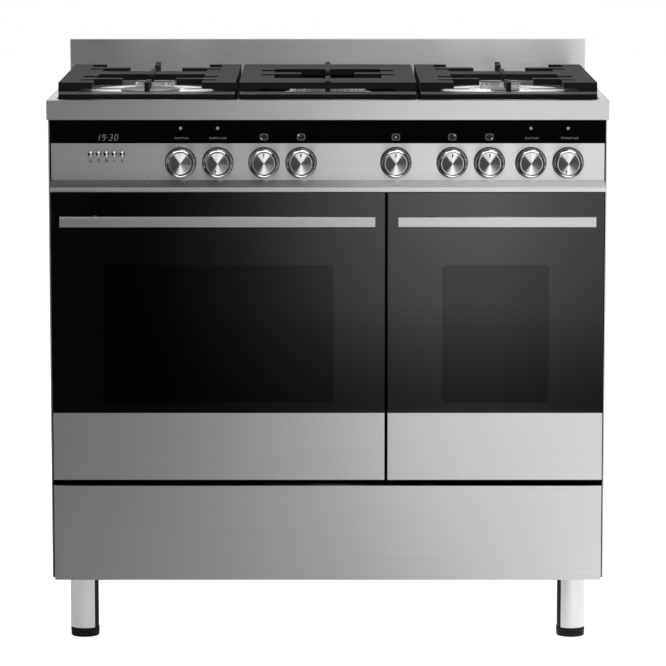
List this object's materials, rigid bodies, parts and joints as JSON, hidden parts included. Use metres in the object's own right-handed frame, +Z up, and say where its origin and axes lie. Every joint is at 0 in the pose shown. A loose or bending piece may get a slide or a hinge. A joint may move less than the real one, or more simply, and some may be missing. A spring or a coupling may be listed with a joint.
{
  "type": "range cooker",
  "caption": "Wide freestanding range cooker with gas hob, cast pan supports, two drop-down oven doors, storage drawer and polished legs.",
  "frame": {"origin": "on the floor, under the middle of the whole cooker with its handles", "axes": "+X to the right seen from the front, +Y to the back, +Z up"},
  "size_m": [0.9, 0.652, 0.945],
  "materials": {
    "brushed_steel": "brushed along the width",
    "galvanised": "galvanised sheet",
    "black_enamel": "gloss vitreous enamel",
    "wool": "mineral wool",
    "hob_steel": "brushed along the width",
    "black_glass": "toughened, black printed",
    "black_plastic": "moulded",
    "lamp_lens": "clear lens, unlit",
    "chrome": "polished",
    "brass": "satin",
    "ceramic": "glazed ceramic",
    "burner_alloy": "satin casting",
    "cap_enamel": "satin vitreous enamel",
    "gasket": "braided glass fibre",
    "zinc_steel": "zinc plated",
    "element_steel": "dark heated steel",
    "clear_glass": "toughened, clear",
    "handle_steel": "fine brushed",
    "knob_steel": "turned face, polished rim",
    "cast_iron": "matt black enamelled casting"
  },
  "bodies": {
    "cooker_body": {"left_side_panel": "brushed_steel", "right_side_panel": "brushed_steel", "back_panel": "galvanised", "base_tray": "galvanised", "front_frame": "black_enamel", "left_oven_liner": "black_enamel", "right_oven_liner": "black_enamel", "oven_insulation": "wool", "hob_top": "hob_steel", "upstand": "hob_steel", "control_panel": "brushed_steel", "control_glass": "black_glass", "clock_module": "black_plastic", "indicator_lamps": "lamp_lens", "knob_bezels": "chrome", "gas_manifold": "brass", "oven_switches": "ceramic", "burner_cups": "burner_alloy", "burner_heads": "burner_alloy", "burner_caps": "cap_enamel", "igniters": "ceramic", "door_gaskets": "gasket", "hinge_brackets": "zinc_steel", "oven_shelves": "chrome", "fan_covers": "black_enamel", "grill_elements": "element_steel", "leg_posts": "black_plastic", "leg_sleeves": "chrome", "drawer_runners": "zinc_steel", "gas_inlet": "brass", "terminal_cover": "black_plastic"},
    "left_door": {"left_door_glass": "black_glass", "left_door_panel": "brushed_steel", "left_door_frame": "black_enamel", "left_inner_glass": "clear_glass", "left_handle": "handle_steel"},
    "right_door": {"right_door_glass": "black_glass", "right_door_panel": "brushed_steel", "right_door_frame": "black_enamel", "right_inner_glass": "clear_glass", "right_handle": "handle_steel"},
    "drawer": {"drawer_front": "brushed_steel", "drawer_box": "galvanised"},
    "left_function_control": {"left_function_knob": "knob_steel"},
    "left_temperature_control": {"left_temperature_knob": "knob_steel"},
    "front_left_control": {"front_left_knob": "knob_steel"},
    "rear_left_control": {"rear_left_knob": "knob_steel"},
    "wok_control": {"wok_knob": "knob_steel"},
    "rear_right_control": {"rear_right_knob": "knob_steel"},
    "front_right_control": {"front_right_knob": "knob_steel"},
    "right_function_control": {"right_function_knob": "knob_steel"},
    "right_temperature_control": {"right_temperature_knob": "knob_steel"},
    "clock_button_1": {"button_1": "chrome"},
    "clock_button_2": {"button_2": "chrome"},
    "clock_button_3": {"button_3": "chrome"},
    "clock_button_4": {"button_4": "chrome"},
    "clock_button_5": {"button_5": "chrome"},
    "left_grate": {"left_pan_support": "cast_iron"},
    "centre_grate": {"centre_pan_support": "cast_iron"},
    "right_grate": {"right_pan_support": "cast_iron"}
  },
  "joints": [
    {"name": "left_door_hinge", "type": "hinge", "parent": "cooker_body", "child": "left_door", "pos_m": [-0.17575, -0.26, 0.287], "axis": [1, 0, 0], "range_deg": [0, 90]},
    {"name": "right_door_hinge", "type": "hinge", "parent": "cooker_body", "child": "right_door", "pos_m": [0.26975, -0.26, 0.287], "axis": [1, 0, 0], "range_deg": [0, 90]},
    {"name": "drawer_slide", "type": "slide", "parent": "cooker_body", "child": "drawer", "axis": [0, -1, 0], "range_m": [0, 0.35]},
    {"name": "left_function_turn", "type": "hinge", "parent": "cooker_body", "child": "left_function_control", "pos_m": [-0.23575, -0.27, 0.783], "axis": [0, -1, 0], "continuous": true},
    {"name": "left_temperature_turn", "type": "hinge", "parent": "cooker_body", "child": "left_temperature_control", "pos_m": [-0.17625, -0.27, 0.783], "axis": [0, -1, 0], "range_deg": [-285, 0]},
    {"name": "front_left_turn", "type": "hinge", "parent": "cooker_body", "child": "front_left_control", "pos_m": [-0.10225, -0.27, 0.783], "axis": [0, -1, 0], "range_deg": [0, 220]},
    {"name": "rear_left_turn", "type": "hinge", "parent": "cooker_body", "child": "rear_left_control", "pos_m": [-0.04275, -0.27, 0.783], "axis": [0, -1, 0], "range_deg": [0, 220]},
    {"name": "wok_turn", "type": "hinge", "parent": "cooker_body", "child": "wok_control", "pos_m": [0.109, -0.27, 0.783], "axis": [0, -1, 0], "range_deg": [0, 220]},
    {"name": "rear_right_turn", "type": "hinge", "parent": "cooker_body", "child": "rear_right_control", "pos_m": [0.19925, -0.27, 0.783], "axis": [0, -1, 0], "range_deg": [0, 220]},
    {"name": "front_right_turn", "type": "hinge", "parent": "cooker_body", "child": "front_right_control", "pos_m": [0.25875, -0.27, 0.783], "axis": [0, -1, 0], "range_deg": [0, 220]},
    {"name": "right_function_turn", "type": "hinge", "parent": "cooker_body", "child": "right_function_control", "pos_m": [0.32525, -0.27, 0.783], "axis": [0, -1, 0], "continuous": true},
    {"name": "right_temperature_turn", "type": "hinge", "parent": "cooker_body", "child": "right_temperature_control", "pos_m": [0.38475, -0.27, 0.783], "axis": [0, -1, 0], "range_deg": [-285, 0]},
    {"name": "clock_button_1_press", "type": "slide", "parent": "cooker_body", "child": "clock_button_1", "axis": [0, 1, 0], "range_m": [0, 0.0015], "stiffness_N_per_m": 300},
    {"name": "clock_button_2_press", "type": "slide", "parent": "cooker_body", "child": "clock_button_2", "axis": [0, 1, 0], "range_m": [0, 0.0015], "stiffness_N_per_m": 300},
    {"name": "clock_button_3_press", "type": "slide", "parent": "cooker_body", "child": "clock_button_3", "axis": [0, 1, 0], "range_m": [0, 0.0015], "stiffness_N_per_m": 300},
    {"name": "clock_button_4_press", "type": "slide", "parent": "cooker_body", "child": "clock_button_4", "axis": [0, 1, 0], "range_m": [0, 0.0015], "stiffness_N_per_m": 300},
    {"name": "clock_button_5_press", "type": "slide", "parent": "cooker_body", "child": "clock_button_5", "axis": [0, 1, 0], "range_m": [0, 0.0015], "stiffness_N_per_m": 300},
    {"name": "left_grate_lift", "type": "slide", "parent": "cooker_body", "child": "left_grate", "axis": [0, 0, 1], "range_m": [0, 0.06]},
    {"name": "centre_grate_lift", "type": "slide", "parent": "cooker_body", "child": "centre_grate", "axis": [0, 0, 1], "range_m": [0, 0.06]},
    {"name": "right_grate_lift", "type": "slide", "parent": "cooker_body", "child": "right_grate", "axis": [0, 0, 1], "range_m": [0, 0.06]}
  ]
}
